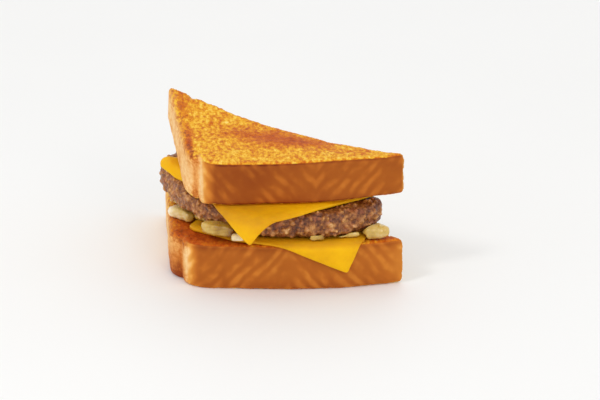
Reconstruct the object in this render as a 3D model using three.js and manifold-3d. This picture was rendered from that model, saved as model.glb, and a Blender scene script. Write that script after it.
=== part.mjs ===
// Half of a sausage melt on thick toast, cut corner to corner.
//
// From the bottom up: a thick slice of toast, a square slice of cheese, a bed of cooked
// onions, a sausage patty, a second slice of cheese and a second slice of toast.
// X runs along the front crust, Y away from it and Z up. Lengths are in millimetres.
// The layers are laid out in a working frame whose zero lies under the middle of the
// front crust. The last lines move the whole onto the middle of its own footprint.

import * as THREE from 'three';
import { mergeVertices } from 'three/addons/utils/BufferGeometryUtils.js';
import Module from 'manifold-3d';

const wasm = await Module();
wasm.setup();

// Driving dimensions

const GAP = 0.3;                 // air left between layers that touch

const TOAST_THICKNESS = 23.2;    // thick-cut toast
const TOP_TOAST_THICKNESS = 21.2;
const TOAST_MIDDLE = new THREE.Vector2(0, 55);
const TOP_TOAST_TURN = THREE.MathUtils.degToRad(4.7);
const TOP_TOAST_SHIFT = new THREE.Vector2(9.6, 5.5);

const CHEESE_SIDE = 89;          // sliced cheese comes 89 mm square
const CHEESE_THICKNESS = 2.6;
const CHEESE_CORNER = 5;         // corners rounded by melting
const CHEESE_TIP = 1.2;          // the hanging corner is sharper
const UPPER_CHEESE_CORNER = new THREE.Vector2(-24.4, -21.3);
const UPPER_CHEESE_TURN = THREE.MathUtils.degToRad(27.5);

const PATTY_MIDDLE = new THREE.Vector2(0, 57);
const PATTY_LONG_RADIUS = 66.2;
const PATTY_SHORT_RADIUS = 57.5;
const PATTY_THICKNESS = 13.4;
const PATTY_EDGE_RADIUS = 3.8;
const PATTY_RISE = new THREE.Vector2(0.0156, 0.0896);   // slope of the patty along X and Y

const CUT_START = new THREE.Vector2(56.3, 4);           // the knife's line, right front corner
const CUT_END = new THREE.Vector2(-57, 107);            // to left back corner
const TOP_CUT_START = new THREE.Vector2(64, 4);         // the slices slid a little after it
const BOTTOM_CUT_START = new THREE.Vector2(54.9, 4);

// Heights of the layers at the zero point

const LOWER_CHEESE_BASE = TOAST_THICKNESS + GAP;
const ONION_BASE = LOWER_CHEESE_BASE + CHEESE_THICKNESS + GAP;
const PATTY_BASE = ONION_BASE + 0.2;
const UPPER_CHEESE_BASE = PATTY_BASE + PATTY_THICKNESS + GAP;
const TOP_TOAST_BASE = UPPER_CHEESE_BASE + CHEESE_THICKNESS + GAP;

const toastFace = new THREE.MeshStandardMaterial({ color: 0xd99a3c, roughness: 0.75 });
const cheeseYellow = new THREE.MeshStandardMaterial({ color: 0xf2b01e, roughness: 0.45 });
const cookedOnion = new THREE.MeshStandardMaterial({ color: 0xd9cd8c, roughness: 0.35 });
const brownedMeat = new THREE.MeshStandardMaterial({ color: 0x7a4a30, roughness: 0.6 });

// Tools for shaping

function bump(x, y, centreX, centreY, reach) {
  const squared = (x - centreX) ** 2 + (y - centreY) ** 2;
  return Math.exp(-squared / (2 * reach * reach));
}

function pattyPlane(base, x, y) {
  return base + PATTY_RISE.x * x + PATTY_RISE.y * y;
}

// How far a point lies on the kept side of the knife's line.
function distanceInside(x, y, start) {
  const along = CUT_END.clone().sub(start).normalize();
  return new THREE.Vector2(x, y).sub(start).cross(along) * -1;
}

function toSolid(geometry) {
  const bare = geometry.clone();
  bare.deleteAttribute('normal');
  bare.deleteAttribute('uv');
  const merged = mergeVertices(bare, 1e-4);
  return new wasm.Manifold(new wasm.Mesh({
    numProp: 3,
    vertProperties: new Float32Array(merged.attributes.position.array),
    triVerts: new Uint32Array(merged.index.array),
  }));
}

function toGeometry(solid) {
  const mesh = solid.getMesh();
  const geometry = new THREE.BufferGeometry();
  geometry.setAttribute('position', new THREE.BufferAttribute(mesh.vertProperties, 3));
  geometry.setIndex(new THREE.BufferAttribute(mesh.triVerts, 1));
  geometry.computeVertexNormals();
  return geometry;
}

// A turned disc whose rim is pulled out to a closed outline. Each profile point gives how
// far it sits inside the rim, as a fraction of the way in or as millimetres, and a level
// from 0 at the bottom to 1 at the top, which place() turns into a height.
function outlinedDisc(outline, middle, profile, place) {
  const levels = profile.map((point) => new THREE.Vector2(1, point.level));
  const disc = new THREE.LatheGeometry(levels, outline.length);
  const position = disc.attributes.position;
  for (let turn = 0; turn <= outline.length; turn += 1) {
    const rim = outline[turn % outline.length];
    const distance = rim.distanceTo(middle);
    profile.forEach((point, row) => {
      const reach = (point.fraction ?? 1) - (point.inset ?? 0) / distance;
      const x = middle.x + (rim.x - middle.x) * reach;
      const y = middle.y + (rim.y - middle.y) * reach;
      const placed = place(x, y, point.level);
      position.setXYZ(turn * profile.length + row, placed.x, placed.y, placed.z);
    });
  }
  return toSolid(disc);
}

// Bottom middle, out to a rounded edge, up the side, over a rounded edge, top middle.
function slabProfile(edgeRadius, thickness, sideRows, capFractions) {
  const edgeTurns = [0, 30, 60, 90].map(THREE.MathUtils.degToRad);
  const edge = edgeTurns.map((turn) => ({
    inset: edgeRadius * (1 - Math.sin(turn)),
    level: (edgeRadius * (1 - Math.cos(turn))) / thickness,
  }));
  const rim = edge.at(-1).level;
  const side = Array.from({ length: sideRows }, (_, row) => ({
    inset: 0,
    level: rim + ((1 - 2 * rim) * (row + 1)) / (sideRows + 1),
  }));
  const bottom = capFractions.map((fraction) => ({ fraction, level: 0 }));
  const topEdge = edge.map(({ inset, level }) => ({ inset, level: 1 - level })).reverse();
  const top = capFractions.map((fraction) => ({ fraction, level: 1 })).reverse();
  return [...bottom, ...edge, ...side, ...topEdge, ...top];
}

// Everything past the knife's line goes. A layer may stand proud of the cut by a little.
function cutInHalf(solid, start, proud) {
  const waste = new THREE.BoxGeometry(400, 200, 300);
  waste.translate(0, -100 - proud, 0);
  waste.rotateZ(CUT_END.clone().sub(start).angle());
  waste.translate(start.x, start.y, 0);
  return solid.subtract(toSolid(waste));
}

// Toast

// Outline of one slice, seen from above, counter-clockwise from the left break between
// the loaf's crown, which faces the front, and its side.
const sliceOutline = (() => {
  const v = (x, y) => new THREE.Vector2(x, y);
  const stretches = [
    [new THREE.CubicBezierCurve(v(-53, 14.5), v(-54.4, 8), v(-49.5, 1.8), v(-38, 0.2)), 9],
    [new THREE.CubicBezierCurve(v(-38, 0.2), v(-18, -2.4), v(15, -9.6), v(56, 2)), 15],
    [new THREE.CubicBezierCurve(v(56, 2), v(63, 4), v(66, 10), v(63, 17)), 6],
    [new THREE.QuadraticBezierCurve(v(63, 17), v(67, 22), v(66, 34)), 4],
    [new THREE.LineCurve(v(66, 34), v(64, 101)), 8],
    [new THREE.QuadraticBezierCurve(v(64, 101), v(64, 111), v(54, 111)), 4],
    [new THREE.LineCurve(v(54, 111), v(-51.5, 110)), 12],
    [new THREE.QuadraticBezierCurve(v(-51.5, 110), v(-59.5, 110), v(-59.5, 102)), 6],
    [new THREE.LineCurve(v(-59.5, 102), v(-59.5, 28)), 12],
    [new THREE.QuadraticBezierCurve(v(-59.5, 28), v(-59.5, 18), v(-53, 14.5)), 6],
  ];
  return stretches.flatMap(([curve, steps]) => curve.getPoints(steps).slice(0, -1));
})();

const toastProfile = slabProfile(2.4, TOAST_THICKNESS, 3, [0, 0.45, 0.86, 0.93]);

function bottomToast() {
  const place = (x, y, level) => new THREE.Vector3(x, y, level * TOAST_THICKNESS);
  return outlinedDisc(sliceOutline, TOAST_MIDDLE, toastProfile, place);
}

// How far the upper cheese has drawn in along its left front side as it melted.
function upperCheeseMelt(along) {
  const { smoothstep } = THREE.MathUtils;
  return 1.6 * smoothstep(along, 8, 32) + 1.8 * smoothstep(along, 26, 38)
    - 2.5 * smoothstep(along, 66, 84);
}

// How far the upper slice sags at its left front, where there is no cheese under it.
function sagPastCheese(x, y) {
  const fromCorner = new THREE.Vector2(x, y).sub(UPPER_CHEESE_CORNER)
    .rotateAround(new THREE.Vector2(), -UPPER_CHEESE_TURN);
  const past = upperCheeseMelt(fromCorner.y) - fromCorner.x;
  const depth = 1 + 1.6 * bump(x, y, -44.5, 15.5, 5);
  return depth * THREE.MathUtils.smoothstep(past, 1.8, 3.6);
}

// The upper slice lies turned on the pile. Its underside follows the patty, sags past the
// cheese and lifts at the left back tip, where the slice curls up. Its upper edge is
// pressed down along the knife's line but for a puffed stretch, and its left wall leans
// inwards, less so at the tip.
function topToast() {
  const tip = new THREE.Vector2(-57, 107);
  const underside = (x, y) => pattyPlane(TOP_TOAST_BASE, x, y) + 1.3 * leftLift(x, y)
    + 3.6 * bump(x, y, tip.x, tip.y, 24) - sagPastCheese(x, y);
  const upperSide = (x, y) => {
    const inside = distanceInside(x, y, TOP_CUT_START);
    const ends = bump(x, y, tip.x, tip.y, 32) + 0.8 * bump(x, y, TOP_CUT_START.x, TOP_CUT_START.y, 15);
    const pressed = 2.8 * Math.exp(-((inside / 12) ** 2)) * (1 - ends);
    const level = TOP_TOAST_BASE + TOP_TOAST_THICKNESS + 0.022 * (x + 43);
    const puffed = 2 * bump(x, y, -27, 81, 11.5) + 0.5 * bump(x, y, tip.x, tip.y, 12);
    return level + 7.8 * bump(x, y, tip.x, tip.y, 21) - pressed + puffed;
  };
  const place = (x, y, level) => {
    const lean = 1.7 - THREE.MathUtils.smoothstep(y, 80, 104);
    const drawnIn = lean * level + 0.6 * THREE.MathUtils.smoothstep(y, 40, 100);
    const leaning = drawnIn * THREE.MathUtils.smoothstep(-x, 30, 58);
    const turned = new THREE.Vector2(x + leaning, y)
      .rotateAround(new THREE.Vector2(), TOP_TOAST_TURN)
      .add(TOP_TOAST_SHIFT);
    const low = underside(turned.x, turned.y);
    const high = upperSide(turned.x, turned.y);
    return new THREE.Vector3(turned.x, turned.y, low + (high - low) * level);
  };
  return outlinedDisc(sliceOutline, TOAST_MIDDLE, toastProfile, place);
}

// Sausage patty

// An oval rim with a slow ripple, long along the cut and drawn in at its left back.
function pattyOutline(grow) {
  const longWay = CUT_END.clone().sub(CUT_START).angle();
  const count = 96;
  return Array.from({ length: count }, (_, index) => {
    const turn = (2 * Math.PI * index) / count;
    const ripple = 0.7 * Math.sin(5 * turn + 0.6) + 0.55 * Math.sin(9 * turn + 2.1)
      + 0.45 * Math.sin(14 * turn + 4);
    const drawnIn = 6 * Math.exp((Math.cos(turn - 0.3) - 1) / 0.025);
    const change = ripple - drawnIn + grow;
    return new THREE.Vector2(
      (PATTY_LONG_RADIUS + change) * Math.cos(turn),
      (PATTY_SHORT_RADIUS + change) * Math.sin(turn),
    ).rotateAround(new THREE.Vector2(), longWay).add(PATTY_MIDDLE);
  });
}

// Height of the patty's underside: it lifts over the onions at the left front.
function pattyUnderside(x, y) {
  return pattyPlane(PATTY_BASE, x, y) + 2.4 * bump(x, y, -48, 26, 15);
}

// The patty is thicker at its far left, which lifts what lies on it.
function leftLift(x, y) {
  return 1.9 * bump(x, y, -62, 58, 13);
}

function pattyTop(x, y) {
  return pattyPlane(PATTY_BASE + PATTY_THICKNESS, x, y) + leftLift(x, y);
}

// How far the craggy side stands out at a point: coarse lumps, none on the faces.
function crag(x, y, level) {
  const lumps = Math.sin(0.42 * x + 3.1 * level) * Math.sin(0.47 * y - 4.3 * level + 1)
    + 0.6 * Math.sin(0.9 * x - 0.7 * y + 6 * level);
  return 0.7 * lumps * 4 * level * (1 - level);
}

function patty(grow = 0) {
  const place = (x, y, level) => {
    const low = pattyUnderside(x, y) - grow;
    const high = pattyTop(x, y) + grow;
    const out = new THREE.Vector2(x, y).sub(PATTY_MIDDLE);
    const side = THREE.MathUtils.smoothstep(out.length(), 44, 54);
    out.setLength(out.length() + side * crag(x, y, level)).add(PATTY_MIDDLE);
    return new THREE.Vector3(out.x, out.y, low + (high - low) * level);
  };
  const profile = slabProfile(PATTY_EDGE_RADIUS, PATTY_THICKNESS, 3, [0, 0.4, 0.75]);
  return outlinedDisc(pattyOutline(grow), PATTY_MIDDLE, profile, place);
}

// Cheese

// A square sheet with rounded corners lying on a plane, its front corner bent over a
// rounded edge. corner is where the front corner would lie if the sheet were flat, turn the
// direction of its right side, bend where the bend starts, facing the way that the corner
// hangs, and hang the angle it ends at. melted tells how far the left front side has drawn
// in, at a distance from the front corner.
function cheeseSheet(
  { corner, turn, bend, facing, radius, hang, height, melted, columns },
  grow = 0,
) {
  const thickness = CHEESE_THICKNESS + 2 * grow;
  const outward = new THREE.Vector2(Math.cos(facing), Math.sin(facing));
  const sideways = new THREE.Vector2(outward.y, -outward.x);
  const bentLength = radius * hang;

  // the sheet's rim, as distances along the bend and past it
  const rim = new THREE.Shape();
  const far = CHEESE_SIDE + grow;
  const round = CHEESE_CORNER + grow;
  const tip = CHEESE_TIP + grow;
  rim.absarc(tip - grow, tip - grow, tip, Math.PI, 1.5 * Math.PI);
  rim.absarc(far - round, round - grow, round, 1.5 * Math.PI, 2 * Math.PI);
  rim.absarc(far - round, far - round, round, 0, 0.5 * Math.PI);
  rim.absarc(round - grow, far - round, round, 0.5 * Math.PI, Math.PI);
  const leftSide = Array.from({ length: 12 }, (_, step) => new THREE.Vector2(-grow, 79 - 6 * step));
  const outline = [...rim.getPoints(6), ...leftSide].map((point) => {
    const drawnIn = melted(point.y) * Math.max(0, 1 - point.x / (CHEESE_SIDE / 2));
    const placed = new THREE.Vector2(point.x + drawnIn, point.y)
      .rotateAround(new THREE.Vector2(), turn).add(corner).sub(bend);
    return new THREE.Vector2(placed.dot(sideways), placed.dot(outward));
  });

  // rows of vertices run along the bend, close together where the sheet curves
  const curved = Array.from({ length: 9 }, (_, step) => (bentLength * step) / 8);
  const sorted = [...outline.map((point) => point.y), ...curved].sort((a, b) => a - b);
  const rows = sorted.filter((row, index) => index === 0 || row - sorted[index - 1] > 0.25);
  rows[0] += 0.05;
  rows[rows.length - 1] -= 0.05;
  const ends = rows.map((row) => {
    const crossings = outline.flatMap((start, index) => {
      const end = outline[(index + 1) % outline.length];
      const share = (row - start.y) / (end.y - start.y);
      return share >= 0 && share <= 1 ? [start.x + share * (end.x - start.x)] : [];
    });
    return [Math.min(...crossings), Math.max(...crossings)];
  });

  const sheet = new THREE.BoxGeometry(1, 1, 1, columns, rows.length - 1, 1);
  const position = sheet.attributes.position;
  for (let index = 0; index < position.count; index += 1) {
    const row = Math.round((position.getY(index) + 0.5) * (rows.length - 1));
    const share = 0.5 + 0.5 * Math.sin(Math.PI * position.getX(index));
    const across = THREE.MathUtils.lerp(...ends[row], share);
    const past = Math.max(rows[row], 0);
    const onCurve = Math.min(past, bentLength);
    const straight = past - onCurve;
    const angle = onCurve / radius;
    const advance = radius * Math.sin(angle) + straight * Math.cos(angle);
    const drop = radius * (1 - Math.cos(angle)) + straight * Math.sin(angle);
    const base = bend.clone()
      .addScaledVector(sideways, across)
      .addScaledVector(outward, Math.min(rows[row], 0));
    const skin = position.getZ(index) * thickness;
    const out = base.clone().addScaledVector(outward, advance + skin * Math.sin(angle));
    const level = height(base.x, base.y) + CHEESE_THICKNESS / 2;
    position.setXYZ(index, out.x, out.y, level - drop + skin * Math.cos(angle));
  }
  return toSolid(sheet);
}

function lowerCheese(grow = 0) {
  return cheeseSheet({
    corner: new THREE.Vector2(28.2, -20.3),
    turn: THREE.MathUtils.degToRad(66.7),
    bend: new THREE.Vector2(28.1, -2.6),
    facing: THREE.MathUtils.degToRad(-90),
    radius: 4,
    hang: THREE.MathUtils.degToRad(86),
    height: () => LOWER_CHEESE_BASE,
    melted: (along) => 0.29 * Math.max(0, along - 61),
    columns: 2,
  }, grow);
}

// Its left corner, past the slice above, puffs up, and droops along its rim.
function upperCheeseHeight(x, y) {
  const { smoothstep } = THREE.MathUtils;
  const fromCorner = new THREE.Vector2(x, y).sub(UPPER_CHEESE_CORNER)
    .rotateAround(new THREE.Vector2(), -UPPER_CHEESE_TURN);
  const fromRim = fromCorner.x - upperCheeseMelt(fromCorner.y);
  const droop = 1.3 * (1 - smoothstep(fromRim, 0, 5)) * smoothstep(fromCorner.y, 68, 82);
  const puff = 1.2 * smoothstep(-x, 54.5, 59);
  return pattyPlane(UPPER_CHEESE_BASE, x, y) + 1.08 * leftLift(x, y) + puff - droop;
}

function upperCheese() {
  return cheeseSheet({
    corner: UPPER_CHEESE_CORNER,
    turn: UPPER_CHEESE_TURN,
    bend: new THREE.Vector2(-15.5, -4.9),
    facing: THREE.MathUtils.degToRad(-124.7),
    radius: 10,
    hang: THREE.MathUtils.degToRad(60),
    height: upperCheeseHeight,
    melted: upperCheeseMelt,
    columns: 8,
  });
}

// Onions

// The bed of chopped onion between the lower cheese and the patty, thin at the front.
function onionBed(clearance, grow = 0) {
  const rim = pattyOutline(grow - 4).map((point, index) => {
    const lump = 1.2 * Math.sin(1.9 * index) + 0.9 * Math.sin(3.1 * index + 1);
    return point.sub(PATTY_MIDDLE).setLength(point.length() - 2 + lump).add(PATTY_MIDDLE);
  });
  const place = (x, y, level) => new THREE.Vector3(x, y, ONION_BASE + 14 * level);
  const profile = slabProfile(1.2, 14, 0, [0, 0.4, 0.75]);
  return outlinedDisc(rim, PATTY_MIDDLE, profile, place).subtract(clearance);
}

// One chopped piece: a rounded block of size [long, deep, high], bowed like the ring it
// was cut from, with its underside at the given point, turned flat and then tipped.
function onionPiece({ size, at, turn = 0, tip = 0, bow = 0 }) {
  const piece = new THREE.SphereGeometry(1, 14, 9);
  const position = piece.attributes.position;
  const square = (value) => Math.sign(value) * Math.abs(value) ** 0.55;
  for (let index = 0; index < position.count; index += 1) {
    const x = (square(position.getX(index)) * size[0]) / 2;
    const y = (square(position.getY(index)) * size[1]) / 2;
    const z = (square(position.getZ(index)) * size[2]) / 2;
    position.setXYZ(index, x, y - bow * (x / (size[0] / 2)) ** 2, z);
  }
  piece.rotateX(THREE.MathUtils.degToRad(tip));
  piece.rotateZ(THREE.MathUtils.degToRad(turn));
  piece.computeBoundingBox();
  piece.translate(at[0], at[1], at[2] - piece.boundingBox.min.z);
  return toSolid(piece);
}

// The pieces that show one by one round the edge of the pile, left side first.
const onionPieces = {
  onion_left: { size: [18, 11, 6.4], at: [-50.5, 39.5, LOWER_CHEESE_BASE], turn: -50, bow: 1.2 },
  onion_front_left: { size: [18, 8, 6.2], at: [-34.8, 7.8, ONION_BASE], turn: -31, bow: 0.8 },
  onion_front_small: { size: [6.5, 3.6, 3.2], at: [-26, -1.4, ONION_BASE], turn: -14 },
  onion_front_sliver: { size: [8, 4, 3.2], at: [13.4, -3.2, ONION_BASE], turn: 10 },
  onion_front_flat: { size: [11.5, 4, 2.6], at: [29, 0.2, ONION_BASE], turn: 8, bow: 0.5 },
  onion_right: { size: [14, 9, 7.4], at: [43, 5, LOWER_CHEESE_BASE], turn: 8, bow: 1 },
};

// Assembly

const sandwich = new THREE.Group();

function layer(name, solid, material, { cutStart = CUT_START, proud = 0 } = {}) {
  const mesh = new THREE.Mesh(toGeometry(cutInHalf(solid, cutStart, proud)), material);
  mesh.name = name;
  sandwich.add(mesh);
}

const pattyClearance = patty(GAP);

layer('bread_bottom', bottomToast(), toastFace, { cutStart: BOTTOM_CUT_START });
layer('cheese_lower', lowerCheese(), cheeseYellow, { proud: 0.4 });
layer('onion_bed', onionBed(pattyClearance), cookedOnion, { proud: 0.2 });
const taken = pattyClearance.add(lowerCheese(GAP)).add(onionBed(patty(), GAP));
for (const [name, piece] of Object.entries(onionPieces)) {
  layer(name, onionPiece(piece).subtract(taken), cookedOnion);
}
layer('patty', patty(), brownedMeat, { proud: 0.9 });
layer('cheese_upper', upperCheese(), cheeseYellow, { proud: 0.5 });
layer('bread_top', topToast(), toastFace, { cutStart: TOP_CUT_START });

const bounds = new THREE.Box3().setFromObject(sandwich);
const footprint = bounds.getCenter(new THREE.Vector3());
sandwich.position.set(-footprint.x, -footprint.y, -bounds.min.z);

const part = new THREE.Group();
part.add(sandwich);

export default part;
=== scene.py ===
"""Half of a sausage melt on thick toast: a griddled slice, cheese, cooked onions, a sausage
patty, more cheese and a second slice, cut corner to corner with one stroke of a knife."""

import math

import bmesh
import bpy
import numpy as np
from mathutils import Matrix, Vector, bvhtree, kdtree, noise


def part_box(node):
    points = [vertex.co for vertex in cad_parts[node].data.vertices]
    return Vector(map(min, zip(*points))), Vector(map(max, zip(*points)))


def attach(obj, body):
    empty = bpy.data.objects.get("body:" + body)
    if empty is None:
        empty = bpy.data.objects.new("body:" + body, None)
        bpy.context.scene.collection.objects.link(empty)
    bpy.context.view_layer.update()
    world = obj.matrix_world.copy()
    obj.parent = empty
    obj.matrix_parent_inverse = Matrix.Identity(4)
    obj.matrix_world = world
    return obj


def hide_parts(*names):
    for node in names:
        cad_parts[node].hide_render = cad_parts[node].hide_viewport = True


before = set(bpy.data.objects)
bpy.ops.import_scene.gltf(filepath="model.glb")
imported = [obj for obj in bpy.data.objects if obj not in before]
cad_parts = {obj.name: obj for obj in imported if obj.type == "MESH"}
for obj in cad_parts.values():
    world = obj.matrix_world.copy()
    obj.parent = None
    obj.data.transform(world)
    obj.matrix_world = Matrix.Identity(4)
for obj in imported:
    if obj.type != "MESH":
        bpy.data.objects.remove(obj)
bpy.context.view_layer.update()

# The layers were laid out in millimetres from a point under the middle of the front crust.
# The lower slice's box gives that point: the slice starts 59.5 mm to its left and 4.4 mm in
# front of it.
MM = 0.001
FOOT = Vector(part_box("bread_bottom")[0]) + Vector((59.5, 4.4, 0)) * MM


# The view, from just left of the front crust and a little above.

view_turn = math.radians(-4)
view_height = math.radians(20)
view_distance = 1.4
view_aim = FOOT + Vector((6.0, 14.5, 41.0)) * MM

back_to_camera = Vector((
    math.sin(view_turn) * math.cos(view_height),
    -math.cos(view_turn) * math.cos(view_height),
    math.sin(view_height),
))
camera_data = bpy.data.cameras.new("camera")
camera_data.lens = 168
camera_data.sensor_width = 36
camera_data.clip_end = 10
camera = bpy.data.objects.new("camera", camera_data)
camera.location = view_aim + back_to_camera * view_distance
camera.rotation_euler = back_to_camera.to_track_quat("Z", "Y").to_euler()
bpy.context.scene.collection.objects.link(camera)
bpy.context.scene.camera = camera


# Toast. Two thick slices of white sandwich loaf, buttered and griddled on both faces. The
# rounded crown of the loaf is the brown front crust; the side crust at the left is paler.
# The knife leaves the cream crumb open, with its pores, at the back.

CUT_TO = (-57, 107)             # the knife's line ends at the left back corner
CUT_FROM = (56.3, 4)            # and starts at the right front one
TOP_CUT_FROM = (64, 4)          # the slices slid a little after the cut
BOTTOM_CUT_FROM = (54.9, 4)
TOAST_VOXEL = 0.55 * MM
JOINED_WITHIN = 0.01 * MM       # vertices as close as this are one
PRESSED_FLAT = 0.02 * MM        # height of what stands on the plate
BETWEEN_SLICES = (33, 36)       # heights above the lower slice and below the upper one
DRAWN_OUT = (1, 0.45, 1)        # the browning is drawn out from front to back


def put(tree, kind, feeds=None, **settings):
    """Adds a node, sets its properties and feeds its inputs with values or other outputs."""
    made = tree.nodes.new(kind)
    for name, value in settings.items():
        setattr(made, name, value)
    for socket, feed in (feeds or {}).items():
        target = made.inputs[socket]
        if isinstance(feed, bpy.types.NodeSocket):
            tree.links.new(feed, target)
        else:
            target.default_value = feed
    return made


def sums(tree, operation, first, second=0.0, third=0.0, clamp=False):
    feeds = {0: first, 1: second, 2: third}
    return put(tree, "ShaderNodeMath", feeds, operation=operation, use_clamp=clamp).outputs[0]


def vector_sums(tree, operation, first, second=(0, 0, 0), factor=1.0):
    feeds = {0: first, 1: second, 3: factor}
    return put(tree, "ShaderNodeVectorMath", feeds, operation=operation).outputs[0]


def remap(tree, value, low, high, to_low=0.0, to_high=1.0):
    """Eases from one value to another while the input goes from low to high."""
    feeds = {"Value": value, 1: low, 2: high, 3: to_low, 4: to_high}
    return put(tree, "ShaderNodeMapRange", feeds, interpolation_type="SMOOTHSTEP").outputs[0]


def from_foot(tree, metres):
    """Turns a position in metres into millimetres from the point the layers were laid from."""
    return vector_sums(tree, "SCALE", vector_sums(tree, "SUBTRACT", metres, FOOT), factor=1 / MM)


def grain(tree, where, size, detail=3.0, roughness=0.55):
    """Noise between 0 and 1, about 0.5, whose features are about size millimetres."""
    feeds = {"Vector": where, "Scale": 1 / size, "Detail": detail, "Roughness": roughness}
    return put(tree, "ShaderNodeTexNoise", feeds).outputs[0]


def spread(tree, where, size, detail=3.0, roughness=0.55):
    """The same noise, stretched and moved to lie between about -1 and 1."""
    return sums(tree, "MULTIPLY_ADD", grain(tree, where, size, detail, roughness), 3.2, -1.6)


def cells(tree, where, size):
    """Distance from the middle of the nearest of many scattered cells, in cell sizes."""
    feeds = {"Vector": where, "Scale": 1 / size}
    return put(tree, "ShaderNodeTexVoronoi", feeds).outputs["Distance"]


def bent(tree, where, size, reach):
    """Positions pushed about by a slow noise, so that what is drawn on them isn't regular."""
    feeds = {"Vector": where, "Scale": 1 / size}
    push = put(tree, "ShaderNodeTexNoise", feeds).outputs["Color"]
    return vector_sums(tree, "ADD", where, vector_sums(tree, "SCALE", push, factor=reach))


def stored(tree, name):
    """A named attribute, in a material or in a geometry tree."""
    if tree.bl_idname == "GeometryNodeTree":
        return put(tree, "GeometryNodeInputNamedAttribute", {"Name": name}).outputs[0]
    return put(tree, "ShaderNodeAttribute", attribute_name=name).outputs["Fac"]


def srgb(red, green, blue):
    """A paint-chart colour, 0 to 255, as the linear colour that materials take."""
    def linear(value):
        value /= 255
        return value / 12.92 if value <= 0.04045 else ((value + 0.055) / 1.055) ** 2.4
    return (linear(red), linear(green), linear(blue), 1.0)


def ramp(tree, value, stops):
    """Paint-chart colours set at places between 0 and 1."""
    made = put(tree, "ShaderNodeValToRGB", {0: value})
    elements = made.color_ramp.elements
    while len(elements) < len(stops):
        elements.new(0.5)
    for element, (place, colour) in zip(elements, stops):
        element.position = place
        element.color = srgb(*colour)
    return made.outputs[0]


def blended(tree, factor, first, second):
    """From the first colour at factor 0 to the second at 1."""
    made = put(tree, "ShaderNodeMix", data_type="RGBA", clamp_factor=True)
    for place, feed in ((0, factor), (6, first), (7, second)):
        if isinstance(feed, bpy.types.NodeSocket):
            tree.links.new(feed, made.inputs[place])
        else:
            made.inputs[place].default_value = feed
    return made.outputs[2]


def food_material(name, paint):
    """A new material. paint(tree, where) returns its colour, roughness and fine height, how
    many millimetres that height is, and the shader settings that are the same all over."""
    material = bpy.data.materials.new(name)
    material.use_nodes = True
    tree = material.node_tree
    shader = tree.nodes["Principled BSDF"]
    where = from_foot(tree, put(tree, "ShaderNodeTexCoord").outputs["Object"])
    colour, roughness, height, depth, even = paint(tree, where)
    tree.links.new(colour, shader.inputs["Base Color"])
    tree.links.new(roughness, shader.inputs["Roughness"])
    bump = put(tree, "ShaderNodeBump", {"Distance": depth * MM, "Height": height})
    tree.links.new(bump.outputs[0], shader.inputs["Normal"])
    for socket, value in even.items():
        shader.inputs[socket].default_value = value
    return material


def plain_object(name, mesh):
    made = bpy.data.objects.new(name, mesh)
    bpy.context.scene.collection.objects.link(made)
    return made


def settle(piece):
    """Turns a piece's modifiers into its plain mesh."""
    shape = piece.evaluated_get(bpy.context.evaluated_depsgraph_get())
    mesh = bpy.data.meshes.new_from_object(shape)
    piece.modifiers.clear()
    old, piece.data = piece.data, mesh
    mesh.name = piece.name
    bpy.data.meshes.remove(old)


def solid_copy(node, name):
    """A copy of a frame solid with its loose triangles joined up."""
    shape = bmesh.new()
    shape.from_mesh(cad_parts[node].data)
    bmesh.ops.remove_doubles(shape, verts=shape.verts, dist=JOINED_WITHIN)
    mesh = bpy.data.meshes.new(name)
    shape.to_mesh(mesh)
    shape.free()
    mesh.materials.clear()
    return plain_object(name, mesh)


def even_skin(piece, voxel, smoothing=0):
    """Rebuilds the surface as an even skin of small faces, and rounds its edges off."""
    skin = piece.modifiers.new("skin", "REMESH")
    skin.mode = "VOXEL"
    skin.voxel_size = voxel
    skin.use_smooth_shade = True
    if smoothing:
        rounding = piece.modifiers.new("rounding", "SMOOTH")
        rounding.iterations = smoothing
    settle(piece)


def points_and_normals(mesh):
    """The vertices in millimetres from the foot, and their normals."""
    count = len(mesh.vertices)
    points, normals = np.empty(count * 3), np.empty(count * 3)
    mesh.vertices.foreach_get("co", points)
    mesh.vertex_normals.foreach_get("vector", normals)
    return (points.reshape(-1, 3) - np.array(FOOT)) / MM, normals.reshape(-1, 3)


def smooth(values, low, high):
    """The same easing as remap's, for plain numbers."""
    share = np.clip((values - low) / (high - low), 0, 1)
    return share * share * (3 - 2 * share)


def move_points(piece, points):
    """Puts the vertices at places given in millimetres from the foot."""
    piece.data.vertices.foreach_set("co", (points * MM + np.array(FOOT)).ravel())
    piece.data.update()


def keep(mesh, name, values):
    """Stores one number for each vertex, for the trees and the materials to read."""
    mesh.attributes.new(name, "FLOAT", "POINT").data.foreach_set("value", values.astype(np.float32))


def inside_cut(points, cut_from):
    """How many millimetres points lie on the kept side of the knife's line."""
    along = np.subtract(CUT_TO, cut_from)
    across = np.array((along[1], -along[0])) / np.linalg.norm(along)
    return -(points[:, :2] - np.array(cut_from)) @ across


def nearest(points, others):
    """Distance from each point to the closest of some others."""
    tree = kdtree.KDTree(len(others))
    for index, point in enumerate(others):
        tree.insert(point, index)
    tree.balance()
    return np.array([tree.find(point)[2] for point in points])


def humps(points, spots):
    """Adds up soft spots, each given as its middle, its reach and its strength."""
    total = np.zeros(len(points))
    for middle, reach, strength in spots:
        away = (points - np.array(middle)) / np.array(reach)
        total += strength * np.exp(-np.sum(away ** 2, axis=1))
    return total


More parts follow.
